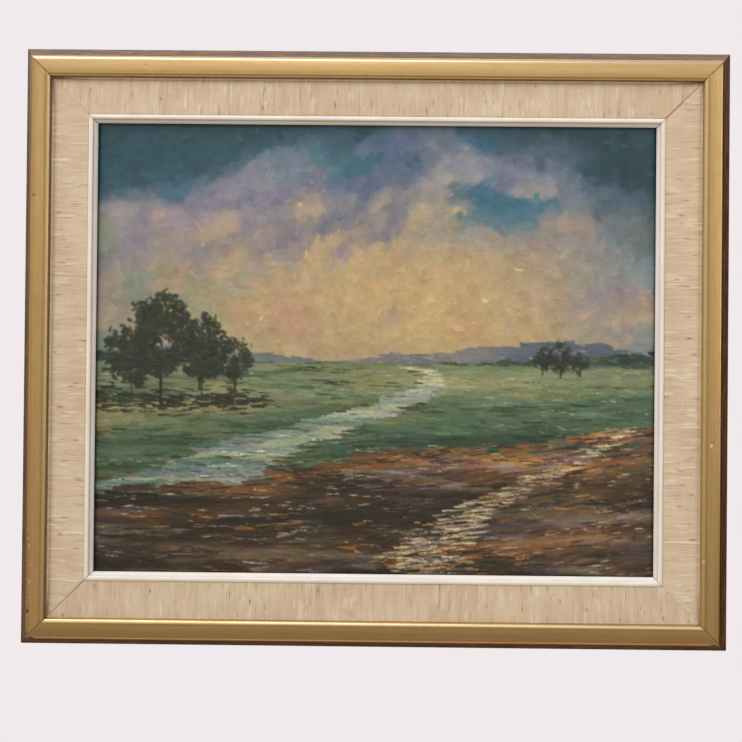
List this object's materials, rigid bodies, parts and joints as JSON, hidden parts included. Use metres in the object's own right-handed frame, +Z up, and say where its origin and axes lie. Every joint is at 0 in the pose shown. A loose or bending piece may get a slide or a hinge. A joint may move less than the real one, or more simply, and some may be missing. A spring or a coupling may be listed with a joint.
{
  "type": "framed oil painting",
  "caption": "Landscape-format oil painting on stretched canvas, in a gilt moulding with a wide cloth liner and a narrow white slip, hung from a toothed hanger.",
  "frame": {"origin": "on the wall side of the toothed hanger's middle, behind the centre of the top rail, where a wall hook takes the weight", "axes": "+X to the right as seen from the front, +Y towards the wall, +Z up"},
  "size_m": [0.636, 0.0319, 0.5376],
  "materials": {
    "gilt": "wood gilded with metal leaf, satin, brown-toned sides",
    "liner_cloth": "wood covered in slubbed raw-silk cloth, matt",
    "slip_paint": "wood painted off-white, eggshell",
    "painted_canvas": "primed linen with oil paint in low relief, varnished",
    "stretcher_wood": "planed pine, bare",
    "key_wood": "sawn beech, bare",
    "zinc_steel": "zinc-plated, dulled",
    "hanger_brass": "brass-plated, dulled"
  },
  "bodies": {
    "root": {"gilt_rail_top": "gilt", "gilt_rail_right": "gilt", "gilt_rail_bottom": "gilt", "gilt_rail_left": "gilt", "liner_rail_top": "liner_cloth", "liner_rail_right": "liner_cloth", "liner_rail_bottom": "liner_cloth", "liner_rail_left": "liner_cloth", "slip_rail_top": "slip_paint", "slip_rail_right": "slip_paint", "slip_rail_bottom": "slip_paint", "slip_rail_left": "slip_paint", "canvas": "painted_canvas", "stretcher_bar_top": "stretcher_wood", "stretcher_bar_right": "stretcher_wood", "stretcher_bar_bottom": "stretcher_wood", "stretcher_bar_left": "stretcher_wood", "stretcher_key_1": "key_wood", "stretcher_key_2": "key_wood", "stretcher_key_3": "key_wood", "stretcher_key_4": "key_wood", "stretcher_key_5": "key_wood", "stretcher_key_6": "key_wood", "stretcher_key_7": "key_wood", "stretcher_key_8": "key_wood", "retaining_plate_top": "zinc_steel", "retaining_plate_right": "zinc_steel", "retaining_plate_bottom": "zinc_steel", "retaining_plate_left": "zinc_steel", "retaining_screw_top": "zinc_steel", "retaining_screw_right": "zinc_steel", "retaining_screw_bottom": "zinc_steel", "retaining_screw_left": "zinc_steel", "hanger": "hanger_brass", "hanger_pin_1": "hanger_brass", "hanger_pin_2": "hanger_brass"}
  },
  "joints": []
}
